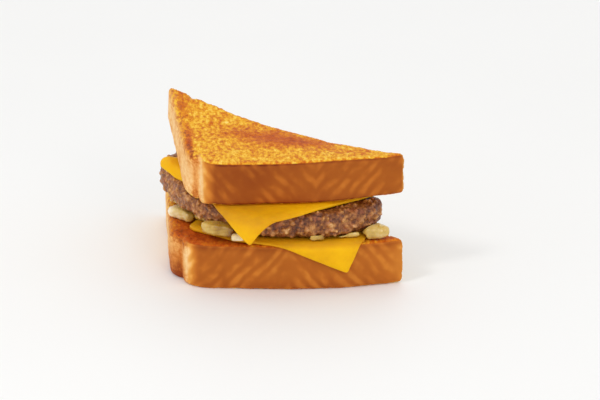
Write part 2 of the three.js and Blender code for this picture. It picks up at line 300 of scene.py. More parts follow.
def mark_toast(piece, cut_from, crease, browning, nicks):
    """Nicks the cut edge and stores where the open crumb, the griddled faces, the pale left
    side, the painted shade in the crease that ends it with a painted highlight beside it, and
    the rims of the faces are, how far the crumb is from the browned outside, how far down the
    sides or in on the faces a point is, and how much more or less than elsewhere the outside has
    browned."""
    mesh = piece.data
    points, normals = points_and_normals(mesh)
    torn = humps(points, nicks)
    points[:, 2] -= torn
    move_points(piece, points)
    crumb = np.maximum(1 - smooth(inside_cut(points, cut_from), 0.35, 0.9), smooth(torn, 0.5, 1.1))
    level = np.abs(normals[:, 2])
    face = smooth(level, 0.6, 0.92) * (1 - crumb)
    past = points[:, 0] - crease
    pale = (1 - smooth(past, 0.4, 8.5)) * (1 - crumb)
    # painted shade in the crease between the side and the crown, and a painted highlight on the crown's
    # rim just past it
    crease_shade_and_rim_highlight = np.exp(-((past + 1.5) / 1.7) ** 2) - 0.6 * np.exp(-((past - 1.2) / 1.0) ** 2)
    rind, below = np.zeros(len(points)), np.zeros(len(points))
    rind[crumb > 0.5] = nearest(points[crumb > 0.5], points[crumb <= 0.5])
    side = (face < 0.5) & (crumb < 0.5)
    below[side] = nearest(points[side], points[face >= 0.5])
    below[face >= 0.5] = -nearest(points[face >= 0.5], points[side])
    keep(mesh, "crumb", crumb)
    keep(mesh, "face", face)
    keep(mesh, "pale", pale)
    keep(mesh, "crease_shade_and_rim_highlight", crease_shade_and_rim_highlight * (1 - crumb))
    keep(mesh, "brim", np.exp(-((level - 0.62) / 0.2) ** 2) * (1 - crumb))
    keep(mesh, "rind", rind)
    keep(mesh, "below", below)
    keep(mesh, "browned", humps(points, browning))


def tree_with_inputs(name, inputs):
    """A new geometry tree, with the sockets that give its inputs and take its result."""
    tree = bpy.data.node_groups.new(name, "GeometryNodeTree")
    tree.interface.new_socket("Geometry", in_out="INPUT", socket_type="NodeSocketGeometry")
    for label, (kind, value) in inputs.items():
        socket = tree.interface.new_socket(label, in_out="INPUT", socket_type=kind)
        if value is not None:
            socket.default_value = value
    tree.interface.new_socket("Geometry", in_out="OUTPUT", socket_type="NodeSocketGeometry")
    return tree, tree.nodes.new("NodeGroupInput").outputs, tree.nodes.new("NodeGroupOutput").inputs


def finish_tree(tree, geometry, material, result):
    real = put(tree, "GeometryNodeRealizeInstances", {"Geometry": geometry})
    done = put(tree, "GeometryNodeSetMaterial", {"Geometry": real.outputs[0], "Material": material})
    tree.links.new(done.outputs[0], result["Geometry"])


def raise_surface(tree, geometry, height):
    """Moves points along their normals by so many millimetres."""
    normal = put(tree, "GeometryNodeInputNormal").outputs[0]
    offset = vector_sums(tree, "SCALE", normal, factor=sums(tree, "MULTIPLY", height, MM))
    feeds = {"Geometry": geometry, "Offset": offset}
    return put(tree, "GeometryNodeSetPosition", feeds).outputs[0]


def store(tree, geometry, name, value):
    """Keeps a value worked out in a geometry tree as a named attribute."""
    feeds = {"Geometry": geometry, "Name": name, "Value": value}
    made = put(tree, "GeometryNodeStoreNamedAttribute", feeds, data_type="FLOAT", domain="POINT")
    return made.outputs[0]


def grow(piece, tree, **values):
    """Runs a geometry tree on a piece with its inputs set, and keeps the plain result."""
    work = piece.modifiers.new(tree.name, "NODES")
    work.node_group = tree
    for item in tree.interface.items_tree:
        if item.in_out == "INPUT" and item.name in values:
            work[item.identifier] = values[item.name]
    settle(piece)


def toast_relief():
    """Crumb pores at the cut, pitted griddled faces and a smooth, slack crust. Sizes in mm."""
    tree, given, result = tree_with_inputs("toast relief", {
        "Pores": ("NodeSocketFloat", 0.9),
        "Crumble": ("NodeSocketFloat", 0.4),
        "Creases": ("NodeSocketFloat", 0.10),
        "Waves": ("NodeSocketFloat", 0.4),
        "Shift": ("NodeSocketVector", (0, 0, 0)),
        "Material": ("NodeSocketMaterial", None),
    })
    where = from_foot(tree, put(tree, "GeometryNodeInputPosition").outputs[0])
    where = vector_sums(tree, "ADD", where, given["Shift"])
    crumb, face = stored(tree, "crumb"), stored(tree, "face")
    rest = sums(tree, "SUBTRACT", 1.0, sums(tree, "ADD", crumb, face), clamp=True)
    loose = bent(tree, where, 4, 2.4)

    # open pores of two sizes
    wide = remap(tree, cells(tree, loose, 2.6), 0.1, 0.45, 1.0, 0.0)
    some = remap(tree, grain(tree, where, 6), 0.46, 0.64)
    small = remap(tree, cells(tree, loose, 1.4), 0.12, 0.55, 1.0, 0.0)
    pores = sums(tree, "MULTIPLY_ADD", sums(tree, "MULTIPLY", wide, some), -0.7,
                 sums(tree, "MULTIPLY", small, -0.4))
    pores = sums(tree, "MULTIPLY_ADD", spread(tree, where, 1.6, 4), 0.2, pores)

    # a fine crumble with small pits, pressed flat on its high spots
    pits = remap(tree, cells(tree, loose, 2.6), 0.06, 0.3, -0.9, 0.0)
    pits = sums(tree, "MULTIPLY", pits, remap(tree, grain(tree, where, 9), 0.45, 0.58))
    crumble = sums(tree, "MULTIPLY_ADD", spread(tree, where, 2.1, 4, 0.65), 0.7, pits)
    crumble = sums(tree, "MINIMUM", crumble, 0.28)

    pores_here = sums(tree, "MULTIPLY", pores, crumb)
    crumble_here = sums(tree, "MULTIPLY", crumble, face)
    height = sums(tree, "MULTIPLY", pores_here, given["Pores"])
    height = sums(tree, "MULTIPLY_ADD", crumble_here, given["Crumble"], height)
    slack = sums(tree, "MULTIPLY", spread(tree, where, 5, 2), rest)
    height = sums(tree, "MULTIPLY_ADD", slack, given["Creases"], height)
    height = sums(tree, "MULTIPLY_ADD", spread(tree, where, 17, 1.5), given["Waves"], height)
    raised = sums(tree, "ADD", pores_here, crumble_here)
    geometry = store(tree, given["Geometry"], "raised", raised)
    finish_tree(tree, raise_surface(tree, geometry, height), given["Material"], result)
    return tree


def griddled_colour(tree, where, flecks, raised, browned, rim):
    """Butter-gold, browner in drifts and flecks, on the high spots and along the rim. Gives
    how brown it is too."""
    drifts = vector_sums(tree, "MULTIPLY", where, DRAWN_OUT)
    brown = sums(tree, "MULTIPLY_ADD", spread(tree, where, 17), 0.08, 0.42)
    brown = sums(tree, "MULTIPLY_ADD", spread(tree, drifts, 5, 3, 0.6), 0.16, brown)
    fleck_strength = remap(tree, browned, 0.05, 0.4, 0.42, 0.16)
    brown = sums(tree, "MULTIPLY_ADD", flecks, fleck_strength, brown)
    brown = sums(tree, "MULTIPLY_ADD", raised, 0.14, brown)
    brown = sums(tree, "MULTIPLY_ADD", rim, 0.2, brown)
    brown = sums(tree, "ADD", brown, browned, clamp=True)
    toasted = ramp(tree, brown, [
        (0.0, (255, 228, 136)), (0.2, (250, 208, 88)), (0.36, (242, 182, 50)), (0.48, (230, 152, 36)),
        (0.6, (216, 122, 30)), (0.78, (194, 88, 22)), (1.0, (150, 54, 12)),
    ])
    return toasted, brown


def stretch_marks(tree, where, upper, left_to_right, height):
    """Slanted bands, 0 to 1, that meet at a middle: rising to it on the lower slice, falling
    to it on the upper one."""
    lower_middle, upper_middle, spacing = -1, 13, 7.2
    middle = sums(tree, "MULTIPLY_ADD", upper, upper_middle - lower_middle, lower_middle)
    lean = sums(tree, "MULTIPLY_ADD", upper, -2, 1)
    sideways = sums(tree, "ABSOLUTE", sums(tree, "SUBTRACT", left_to_right, middle))
    slant = sums(tree, "MULTIPLY_ADD", sums(tree, "MULTIPLY", height, lean), 0.9, sideways)
    slant = sums(tree, "MULTIPLY_ADD", spread(tree, where, 14, 2), 2.2, slant)
    band = sums(tree, "SINE", sums(tree, "MULTIPLY", slant, 2 * math.pi / spacing))
    patchy = remap(tree, grain(tree, where, 10, 2), 0.35, 0.7)
    patchy = sums(tree, "MULTIPLY", patchy, sums(tree, "MULTIPLY_ADD", upper, -0.15, 1))
    return sums(tree, "MULTIPLY", remap(tree, band, -1.2, 1), patchy)


def crown_colour(tree, where, brim, pale, browned):
    """Even chestnut with lighter stretch marks and painted light towards the right; the upper slice is
    darker.
    """
    split = put(tree, "ShaderNodeSeparateXYZ", {0: where}).outputs
    upper = remap(tree, split["Z"], *BETWEEN_SLICES)
    marks = stretch_marks(tree, where, upper, split["X"], split["Z"])
    tone = sums(tree, "MULTIPLY_ADD", upper, 0.13, 0.68)
    # painted light: lighter towards the right, where the lamp from the front right falls
    tone = sums(tree, "MULTIPLY_ADD", split["X"], -0.0009, tone)
    tone = sums(tree, "MULTIPLY_ADD", spread(tree, where, 13, 2), 0.06, tone)
    tone = sums(tree, "MULTIPLY_ADD", marks, -0.26, tone)
    # the rim of the crown is lighter on the lower slice and darker on the upper one
    rim_tone = remap(tree, upper, 0, 1, -0.16, 0.14)
    rim_tone = sums(tree, "MULTIPLY_ADD", spread(tree, where, 2.2, 3), 0.1, rim_tone)
    tone = sums(tree, "MULTIPLY_ADD", brim, rim_tone, tone)
    tone = sums(tree, "MULTIPLY_ADD", pale, -0.66, tone)
    tone = sums(tree, "ADD", tone, browned, clamp=True)
    return ramp(tree, tone, [
        (0.0, (252, 208, 142)), (0.2, (236, 168, 80)), (0.4, (212, 132, 50)), (0.6, (190, 108, 38)),
        (0.75, (170, 91, 31)), (0.9, (150, 74, 26)), (1.0, (118, 48, 20)),
    ])


def side_colour(tree, where, flecks, below, browned):
    """Pale straw with upright fibres, browner and speckled by the griddled faces, with painted
    shade in the crease where it meets the crown and a painted highlight on the crown's rim."""
    upright = vector_sums(tree, "MULTIPLY", where, (1, 1, 0.25))
    tone = sums(tree, "MULTIPLY_ADD", spread(tree, where, 10, 2), 0.09, 0.35)
    tone = sums(tree, "MULTIPLY_ADD", spread(tree, upright, 3.4, 4, 0.65), 0.1, tone)
    near_face = remap(tree, below, -1, 9, 1.0, 0.0)
    speckled = sums(tree, "MULTIPLY_ADD", near_face, 0.26, 0.16)
    tone = sums(tree, "MULTIPLY_ADD", flecks, speckled, tone)
    tone = sums(tree, "MULTIPLY_ADD", near_face, 0.14, tone)
    # painted shade in the crease and a painted highlight on the crown's rim beside it
    tone = sums(tree, "MULTIPLY_ADD", stored(tree, "crease_shade_and_rim_highlight"), 0.24, tone)
    tone = sums(tree, "ADD", tone, browned, clamp=True)
    return ramp(tree, tone, [
        (0.0, (255, 226, 174)), (0.3, (248, 204, 142)), (0.5, (234, 170, 96)), (0.7, (208, 124, 52)),
        (1.0, (148, 68, 26)),
    ])


def crumb_colour(tree, where, raised):
    """Cream, with painted shade in the pores, tan close to the browned outside."""
    # painted shade: darker where the crumb's surface lies low, in the pores
    hollow = remap(tree, raised, -0.9, 0.15)
    cream = blended(tree, hollow, srgb(212, 168, 108), srgb(240, 211, 158))
    clouds = sums(tree, "MULTIPLY", grain(tree, where, 3, 4), 0.35)
    cream = blended(tree, clouds, cream, srgb(246, 228, 190))
    depth = sums(tree, "MULTIPLY_ADD", spread(tree, where, 2, 3), 0.45, stored(tree, "rind"))
    return blended(tree, remap(tree, depth, 0.4, 2.2), srgb(222, 156, 70), cream)


def paint_toast(tree, where):
    crumb, face, pale = stored(tree, "crumb"), stored(tree, "face"), stored(tree, "pale")
    raised, browned, brim = stored(tree, "raised"), stored(tree, "browned"), stored(tree, "brim")
    below = stored(tree, "below")
    flecks = spread(tree, vector_sums(tree, "MULTIPLY", where, DRAWN_OUT), 1.8, 3, 0.66)
    rim = sums(tree, "MULTIPLY", brim, sums(tree, "SUBTRACT", 1, pale))
    toasted, brown = griddled_colour(tree, where, flecks, raised, browned, rim)
    crown = crown_colour(tree, where, brim, pale, browned)
    side = side_colour(tree, where, flecks, below, browned)
    crust = blended(tree, remap(tree, pale, 0.85, 1.0), crown, side)

    # the browning of a face ends at its rim, but fades out over the rim on the side crust
    ragged = sums(tree, "MULTIPLY_ADD", spread(tree, where, 2.4, 4, 0.65), 0.2, face)
    crisp = remap(tree, ragged, 0.15, 0.75)
    fading = remap(tree, sums(tree, "MULTIPLY_ADD", flecks, 7, below), -3.2, 1.2, 1.0, 0.0)
    softer = sums(tree, "MULTIPLY", sums(tree, "SUBTRACT", fading, crisp), remap(tree, pale, 0.7, 1.0))
    colour = blended(tree, sums(tree, "ADD", crisp, softer, clamp=True), crust, toasted)
    colour = blended(tree, crumb, colour, crumb_colour(tree, where, raised))

    roughness = sums(tree, "MULTIPLY_ADD", crumb, 0.3, remap(tree, brown, 0.2, 0.9, 0.66, 0.5))
    fine = grain(tree, where, 0.45, 3, 0.7)
    grit = sums(tree, "MULTIPLY_ADD", sums(tree, "ADD", face, crumb), 0.85, 0.15)
    even = {
        "Subsurface Weight": 0.12, "Subsurface Scale": 1.2 * MM,
        "Subsurface Radius": (1.0, 0.55, 0.25), "IOR": 1.45, "Specular IOR Level": 0.08,
    }
    return colour, roughness, sums(tree, "MULTIPLY", fine, grit), 0.28, even


toast_material = food_material("toast", paint_toast)
toast_tree = toast_relief()

# where each slice browned more or less: middle, reach and strength; the last entry of each lightens its
# right end with painted light
lower_browning = [
    ((-42, 10, 23.5), (24, 14, 3), 0.34), ((52, 6, 23.5), (14, 12, 3), 0.3),
    ((-50, 40, 23.5), (12, 26, 3), 0.34), ((0, 0, 23.5), (60, 14, 3), 0.12),
    ((-57, 24, 5), (4, 18, 13), 0.34), ((-57, 20, 1), (5, 20, 8), 0.24),
    # the last entry here is painted light on the right end of the lower slice
    ((-52, 4, 1), (6, 5, 6), 0.16), ((10, -4, 1), (60, 8, 4), 0.12), ((56, 3, 12), (5, 5, 14), -0.18),
]
upper_browning = [
    ((-8, 45, 66), (17, 14, 9), 0.32), ((1, 38, 66), (12, 9, 9), 0.14),
    ((13, 33, 66), (14, 9, 9), 0.24), ((30, 20, 66), (13, 6, 9), 0.1),
    ((-28, 54, 66), (9, 8, 9), 0.12), ((-30, 66, 67), (5, 7, 9), 0.14),
    ((-28.4, 67.6, 67), (1.8, 2.6, 5), -0.45), ((-48.4, 41, 64.5), (2.0, 20, 4), 0.46),
    ((-50, 82, 69), (3.5, 20, 4), 0.22), ((-54, 104, 74), (9, 7, 7), 0.13),
    ((3, -1, 65), (60, 2.5, 3), 0.1), ((3, 3, 43), (60, 8, 4), 0.08),
    # the last entry here is painted light on the right end of the upper slice
    ((-24, 0, 60), (18, 6, 8), 0.08), ((62, 4, 54), (4, 5, 14), -0.16),
]
# and where the knife tore the rim of the upper one: middle, reach and depth
upper_nicks = [
    ((-44.5, 95.5, 72), (2.6, 2.6, 3), 1.7), ((-37, 89.5, 71), (1.8, 2.2, 3), 0.6),
    ((-8, 65, 68), (2.6, 2, 3), 0.5), ((22, 39, 66), (2, 2, 3), 0.5),
]

for node, name, cut_from, crease, browning, nicks, shift in (
    ("bread_bottom", "toast_bottom", BOTTOM_CUT_FROM, -52.6, lower_browning, [], (0, 0, 0)),
    ("bread_top", "toast_top", TOP_CUT_FROM, -44.4, upper_browning, upper_nicks, (310, 170, 50)),
):
    slice_of_toast = solid_copy(node, name)
    even_skin(slice_of_toast, TOAST_VOXEL)
    mark_toast(slice_of_toast, cut_from, crease, browning, nicks)
    grow(slice_of_toast, toast_tree, Material=toast_material, Shift=shift)
    for vertex in slice_of_toast.data.vertices:
        vertex.co.z = max(vertex.co.z, PRESSED_FLAT)
    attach(slice_of_toast, "root")
    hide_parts(node)


# Cheese. Two square slices of processed cheese, melted soft by the heat of the patty and held
# by the weight above. One corner of each hangs over the edge of what it lies on.

CHEESE_SIDE = 89
CHEESE_THICKNESS = 2.6
CHEESE_VOXEL = 0.45 * MM
LOWER_LEVEL = 23.5                   # underside of the lower slice
UPPER_LEVEL = 40.3                   # and of the upper one, over the foot
PATTY_SLOPE = (0.0156, 0.0896)       # the pile rises to the right and to the back
UPPER_CORNER = (-24.4, -21.3)
UPPER_TURN = 27.5


def left_lift(x, y):
    """The pile is thicker at its far left."""
    return 1.9 * math.exp(-((x + 62) ** 2 + (y - 58) ** 2) / (2 * 13 ** 2))


def upper_melt(along):
    """How far the left front side has drawn in, at a distance from the front corner."""
    drawn_in = 1.6 * smooth(along, 8, 32) + 1.8 * smooth(along, 26, 38)
    return float(drawn_in - 2.5 * smooth(along, 66, 84))


def upper_level(x, y):
    """The sheet follows the patty. Its left corner, past the toast, puffs up a little, and
    its rim droops there."""
    turn = math.radians(UPPER_TURN)
    right, back = x - UPPER_CORNER[0], y - UPPER_CORNER[1]
    across = right * math.cos(turn) + back * math.sin(turn)
    along = back * math.cos(turn) - right * math.sin(turn)
    droop = 1.6 * (1 - smooth(across - upper_melt(along), 0, 5)) * smooth(along, 60, 76)
    puff = 1.2 * smooth(-x, 54.5, 59)
    level = UPPER_LEVEL + PATTY_SLOPE[0] * x + PATTY_SLOPE[1] * y + 1.08 * left_lift(x, y)
    return level + float(puff - droop)


# where the front corner is and how far the slice is turned; where the bend starts, which way
# it faces, its radius and how steeply the corner hangs; the height of the underside, how far
# the left side has drawn in, and how far the cut end stands proud
lower_sheet = {
    "corner": (28.2, -20.3), "turn": 66.7, "bend": (28.1, -2.6), "facing": -90, "radius": 4,
    "hang": 86, "height": lambda x, y: LOWER_LEVEL,
    "melted": lambda along: 0.29 * max(0, along - 61), "proud": 0.4,
}
upper_sheet = {
    "corner": UPPER_CORNER, "turn": UPPER_TURN, "bend": (-15.5, -4.9), "facing": -124.7,
    "radius": 10, "hang": 60, "height": upper_level, "melted": upper_melt, "proud": 0.5,
}


def flat_sheet(step, corner_radius=5, tip_radius=1.2, rim_radius=0.8):
    """A square slice lying flat, in millimetres from its front corner, with soft rims."""
    shape = bmesh.new()
    rim = []
    near, far = corner_radius, CHEESE_SIDE - corner_radius
    corners = (
        (tip_radius, tip_radius, tip_radius), (far, near, near), (far, far, near), (near, far, near),
    )
    for index, (x, y, radius) in enumerate(corners):
        for turn in range(0, 91, 10):
            angle = math.radians(180 + 90 * index + turn)
            rim.append(shape.verts.new((x + radius * math.cos(angle), y + radius * math.sin(angle), 0)))
    shape.faces.new(rim)
    pulled = bmesh.ops.extrude_face_region(shape, geom=shape.faces[:])["geom"]
    bmesh.ops.translate(shape, vec=(0, 0, CHEESE_THICKNESS),
                        verts=[part for part in pulled if isinstance(part, bmesh.types.BMVert)])
    bmesh.ops.recalc_face_normals(shape, faces=shape.faces)
    sharp = [edge for edge in shape.edges if edge.calc_face_angle(0) > math.radians(60)]
    bmesh.ops.bevel(shape, geom=sharp, offset=rim_radius, segments=3, profile=0.5, affect="EDGES")
    for direction in ((1, 0, 0), (0, 1, 0)):
        for place in np.arange(step, CHEESE_SIDE, step):
            everything = shape.verts[:] + shape.edges[:] + shape.faces[:]
            bmesh.ops.bisect_plane(shape, geom=everything, plane_no=direction,
                                   plane_co=Vector(direction) * place)
    return shape


def draped(point, sheet):
    """Where a point of the flat slice comes to lie once its corner has bent over."""
    turn, facing = math.radians(sheet["turn"]), math.radians(sheet["facing"])
    x = point.x + sheet["melted"](point.y) * max(0, 1 - point.x / (CHEESE_SIDE / 2))
    flat = Vector(sheet["corner"]) + Vector((
        x * math.cos(turn) - point.y * math.sin(turn),
        x * math.sin(turn) + point.y * math.cos(turn),
    ))
    outward = Vector((math.cos(facing), math.sin(facing)))
    past = max((flat - Vector(sheet["bend"])).dot(outward), 0)
    bent_length = sheet["radius"] * math.radians(sheet["hang"])
    straight = max(past - bent_length, 0)
    angle = (past - straight) / sheet["radius"]
    advance = sheet["radius"] * math.sin(angle) + straight * math.cos(angle)
    drop = sheet["radius"] * (1 - math.cos(angle)) + straight * math.sin(angle)
    base = flat - outward * past
    skin = point.z - CHEESE_THICKNESS / 2
    out = base + outward * (advance + skin * math.sin(angle))
    level = sheet["height"](base.x, base.y) + CHEESE_THICKNESS / 2
    return Vector((out.x, out.y, level - drop + skin * math.cos(angle)))


def slice_away(shape, cut_from, proud):
    """Cuts a shape in millimetres off along the knife's line and closes it again."""
    along = Vector(CUT_TO + (0,)) - Vector(cut_from + (0,))
    kept_side = Vector((-along.y, along.x, 0)).normalized()
    everything = shape.verts[:] + shape.edges[:] + shape.faces[:]
    cut = bmesh.ops.bisect_plane(
        shape, geom=everything, plane_co=Vector(cut_from + (0,)) - kept_side * proud,
        plane_no=kept_side, clear_inner=True)
    edges = [part for part in cut["geom_cut"] if isinstance(part, bmesh.types.BMEdge)]
    bmesh.ops.holes_fill(shape, edges=edges)


def set_down(shape, mesh):
    """Puts a shape in millimetres in its place, as a mesh with no many-sided faces."""
    for vertex in shape.verts:
        vertex.co = FOOT + vertex.co * MM
    bmesh.ops.triangulate(shape, faces=[face for face in shape.faces if len(face.verts) > 4])
    shape.to_mesh(mesh)
    shape.free()


def wavy(point, seed, size):
    """Slow noise at a point, about -1 to 1."""
    return noise.noise(Vector(point) / size + Vector((seed, 0, 0)))


def sheet_of_cheese(name, sheet, seed):
    """A slice with thinned rims and a slack surface, draped and cut with the rest."""
    shape = flat_sheet(step=1.3)
    for vertex in shape.verts:
        x, y, z = vertex.co
        rim = min(x, y, CHEESE_SIDE - x, CHEESE_SIDE - y)
        thinned = 1 - 0.36 * (1 - float(smooth(rim, 0, 3.5)))
        wander = Vector((wavy((x, y, 0), seed, 13), wavy((x, y, 9), seed, 13), 0)) * 0.5
        slack = wavy((x, y, 40), seed, 16) * 0.25 + wavy((x, y, 70), seed, 6) * 0.08
        flat = Vector((x, y, z * thinned + slack)) + wander
        vertex.co = draped(flat, sheet)
    slice_away(shape, CUT_FROM, sheet["proud"])
    mesh = bpy.data.meshes.new(name)
    set_down(shape, mesh)
    return plain_object(name, mesh)


def paint_cheese(tree, where):
    """Even yellow-orange, with painted shade under the toast and under the patty."""
    tone = sums(tree, "MULTIPLY_ADD", spread(tree, where, 14, 2), 0.16, 0.5)
    tone = sums(tree, "MULTIPLY_ADD", spread(tree, where, 3, 3), 0.06, tone)
    split = put(tree, "ShaderNodeSeparateXYZ", {0: where}).outputs
    # painted shade: darker high on the upper slice's flap, where it lies under the toast, less so
    # towards the right
    bend = sums(tree, "MULTIPLY", remap(tree, split["Z"], 30, 42), remap(tree, split["X"], -50, -44))
    bend = sums(tree, "MULTIPLY", bend, remap(tree, split["X"], -22, 4, 1.0, 0.35))
    tone = sums(tree, "MULTIPLY_ADD", bend, -0.4, tone)
    # painted shade: darker between 25 and 28 mm up, where the lower slice lies under the patty and
    # onions
    under = sums(tree, "SUBTRACT", remap(tree, split["Z"], 22, 25), remap(tree, split["Z"], 28, 31))
    tone = sums(tree, "MULTIPLY_ADD", under, -0.34, tone, clamp=True)
    colour = ramp(tree, tone, [
        (0.0, (200, 138, 22)), (0.25, (223, 160, 12)), (0.5, (240, 182, 8)), (0.8, (248, 196, 12)),
    ])
    roughness = remap(tree, grain(tree, where, 6), 0.3, 0.7, 0.42, 0.56)
    height = sums(tree, "MULTIPLY_ADD", grain(tree, where, 0.8), 0.3, grain(tree, where, 4))
    even = {
        "Subsurface Weight": 0.2, "Subsurface Scale": 2.0 * MM,
        "Subsurface Radius": (1.0, 0.6, 0.12), "IOR": 1.46, "Specular IOR Level": 0.14,
    }
    return colour, roughness, height, 0.12, even


cheese_material = food_material("cheese", paint_cheese)
for node, sheet, seed in (("cheese_lower", lower_sheet, 3.1), ("cheese_upper", upper_sheet, 8.4)):
    piece = sheet_of_cheese("melted_" + node, sheet, seed)
    even_skin(piece, CHEESE_VOXEL, smoothing=3)
    piece.data.materials.append(cheese_material)
    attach(piece, "root")
    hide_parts(node)


# Onions. Chopped and cooked until soft and clear on the griddle: a bed of small pieces
# under the patty, and larger ones that have worked out to its edge.

ONION_BASE = 26.4                    # the bed lies on the lower cheese
PATTY_UNDERSIDE = 26.6               # over the foot, and it rises with the pile
CORE_VOXEL = 0.5 * MM
CHOPPED_VOXEL = 0.42 * MM
LARGER_VOXEL = 0.35 * MM
LAYER = 2.2                          # the thickness of one layer of an onion
SAG = 2.4                            # onions past the lower cheese lie this much lower


def onion_bed_tree():
    """Small curved pieces set at random round the rim of a core. Sizes in mm."""
    tree, given, result = tree_with_inputs("chopped onion", {
        "Spacing": ("NodeSocketFloat", 2.6),
        "Longest": ("NodeSocketFloat", 7.5),
        "Thinnest": ("NodeSocketFloat", 1.8),
        "Seed": ("NodeSocketInt", 5),
        "Material": ("NodeSocketMaterial", None),
    })
    spacing = sums(tree, "MULTIPLY", given["Spacing"], MM)
    points = put(tree, "GeometryNodeDistributePointsOnFaces", {
        "Mesh": given["Geometry"], "Selection": stored(tree, "rim"), "Distance Min": spacing,
        "Density Max": 4e5, "Seed": given["Seed"],
    }, distribute_method="POISSON")
    cube = put(tree, "GeometryNodeMeshCube", {0: (1, 1, 1)}).outputs[0]
    cube = put(tree, "GeometryNodeSubdivideMesh", {"Mesh": cube, "Level": 1}).outputs[0]
    block = put(tree, "GeometryNodeSubdivisionSurface", {"Mesh": cube, "Level": 1}).outputs[0]
    tall = sums(tree, "MULTIPLY", stored(tree, "thickness"), 1.1)
    tall = sums(tree, "MAXIMUM", given["Thinnest"], sums(tree, "MINIMUM", tall, 5))
    long = put(tree, "FunctionNodeRandomValue", {2: 0.55, 3: 1.0, "Seed": 1}, data_type="FLOAT")
    deep = put(tree, "FunctionNodeRandomValue", {2: 0.35, 3: 0.6, "Seed": 2}, data_type="FLOAT")
    size = put(tree, "ShaderNodeCombineXYZ", {
        0: sums(tree, "MULTIPLY", long.outputs[1], given["Longest"]),
        1: sums(tree, "MULTIPLY", deep.outputs[1], given["Longest"]),
        2: tall,
    }).outputs[0]
    turn = put(tree, "FunctionNodeRandomValue", {
        0: (-0.3, -0.3, 0), 1: (0.3, 0.3, 2 * math.pi), "Seed": 3,
    }, data_type="FLOAT_VECTOR")
    pieces = put(tree, "GeometryNodeInstanceOnPoints", {
        "Points": points.outputs[0], "Instance": block, "Rotation": turn.outputs[0],
        "Scale": vector_sums(tree, "SCALE", size, factor=MM),
    }).outputs[0]
    real = put(tree, "GeometryNodeRealizeInstances", {"Geometry": pieces}).outputs[0]
    where = from_foot(tree, put(tree, "GeometryNodeInputPosition").outputs[0])
    uneven = raise_surface(tree, real, sums(tree, "MULTIPLY", spread(tree, where, 3.4, 2), 0.35))
    smoothed = put(tree, "GeometryNodeSetShadeSmooth", {"Geometry": uneven}).outputs[0]
    finish_tree(tree, smoothed, given["Material"], result)
    return tree


def layers_of(tree, where):
    """Counts the onion's layers across a piece."""
    split = put(tree, "ShaderNodeSeparateXYZ", {0: bent(tree, where, 7, 4)}).outputs
    slanted = sums(tree, "MULTIPLY_ADD", split["Y"], 0.6, split["Z"])
    return sums(tree, "DIVIDE", slanted, LAYER)


def onion_relief():
    """Faint ribs that follow the layers of the onion, and a soft unevenness. Sizes in mm."""
    tree, given, result = tree_with_inputs("onion relief", {
        "Ribs": ("NodeSocketFloat", 0.025),
        "Lumps": ("NodeSocketFloat", 0.4),
        "Material": ("NodeSocketMaterial", None),
    })
    where = from_foot(tree, put(tree, "GeometryNodeInputPosition").outputs[0])
    height = sums(tree, "MULTIPLY", spread(tree, where, 4, 2), given["Lumps"])
    rib = sums(tree, "SINE", sums(tree, "MULTIPLY", layers_of(tree, where), 2 * math.pi))
    height = sums(tree, "MULTIPLY_ADD", rib, given["Ribs"], height)
    smoothed = put(tree, "GeometryNodeSetShadeSmooth", {"Geometry": given["Geometry"]}).outputs[0]
    finish_tree(tree, raise_surface(tree, smoothed, height), given["Material"], result)
    return tree


def paint_onion(tree, where):
    """Whitish where it is least cooked, through yellow to a clear olive brown."""
    cooked = sums(tree, "MULTIPLY_ADD", spread(tree, where, 5, 2), 0.22, stored(tree, "cooked"))
    cooked = sums(tree, "MULTIPLY_ADD", spread(tree, where, 1.6, 3), 0.05, cooked)
    line = sums(tree, "SINE", sums(tree, "MULTIPLY", layers_of(tree, where), 2 * math.pi))
    cooked = sums(tree, "MULTIPLY_ADD", line, 0.035, cooked, clamp=True)
    colour = ramp(tree, cooked, [
        (0.0, (246, 236, 214)), (0.3, (230, 205, 146)), (0.55, (210, 176, 88)), (0.8, (178, 138, 44)),
        (1.0, (132, 86, 24)),
    ])
    roughness = remap(tree, grain(tree, where, 2.5), 0.3, 0.7, 0.2, 0.36)
    even = {
        "Subsurface Weight": 0.5, "Subsurface Scale": 2.2 * MM, "Subsurface Radius": (1.0, 0.85, 0.4),
        "IOR": 1.4, "Coat Weight": 0.6, "Coat Roughness": 0.1,
    }
    return colour, roughness, grain(tree, where, 1.4), 0.12, even


def sink(piece):
    """Lets what lies beyond the lower cheese sag down to the toast."""
    points, _ = points_and_normals(piece.data)
    turn = math.radians(lower_sheet["turn"])
    past = (points[:, :2] - lower_sheet["corner"]) @ (-math.sin(turn), math.cos(turn)) - CHEESE_SIDE
    points[:, 2] -= SAG * smooth(past, 0, 5) * (1 - smooth(points[:, 2], 26, 33))
    move_points(piece, points)


def cut_flush(piece, cut_from, proud):
    """Takes away what stands out past the knife's line."""
    shape = bmesh.new()
    shape.from_mesh(piece.data)
    for vertex in shape.verts:
        vertex.co = (vertex.co - FOOT) / MM
    slice_away(shape, cut_from, proud)
    set_down(shape, piece.data)


onion_material = food_material("cooked onion", paint_onion)
onion_tree = onion_relief()

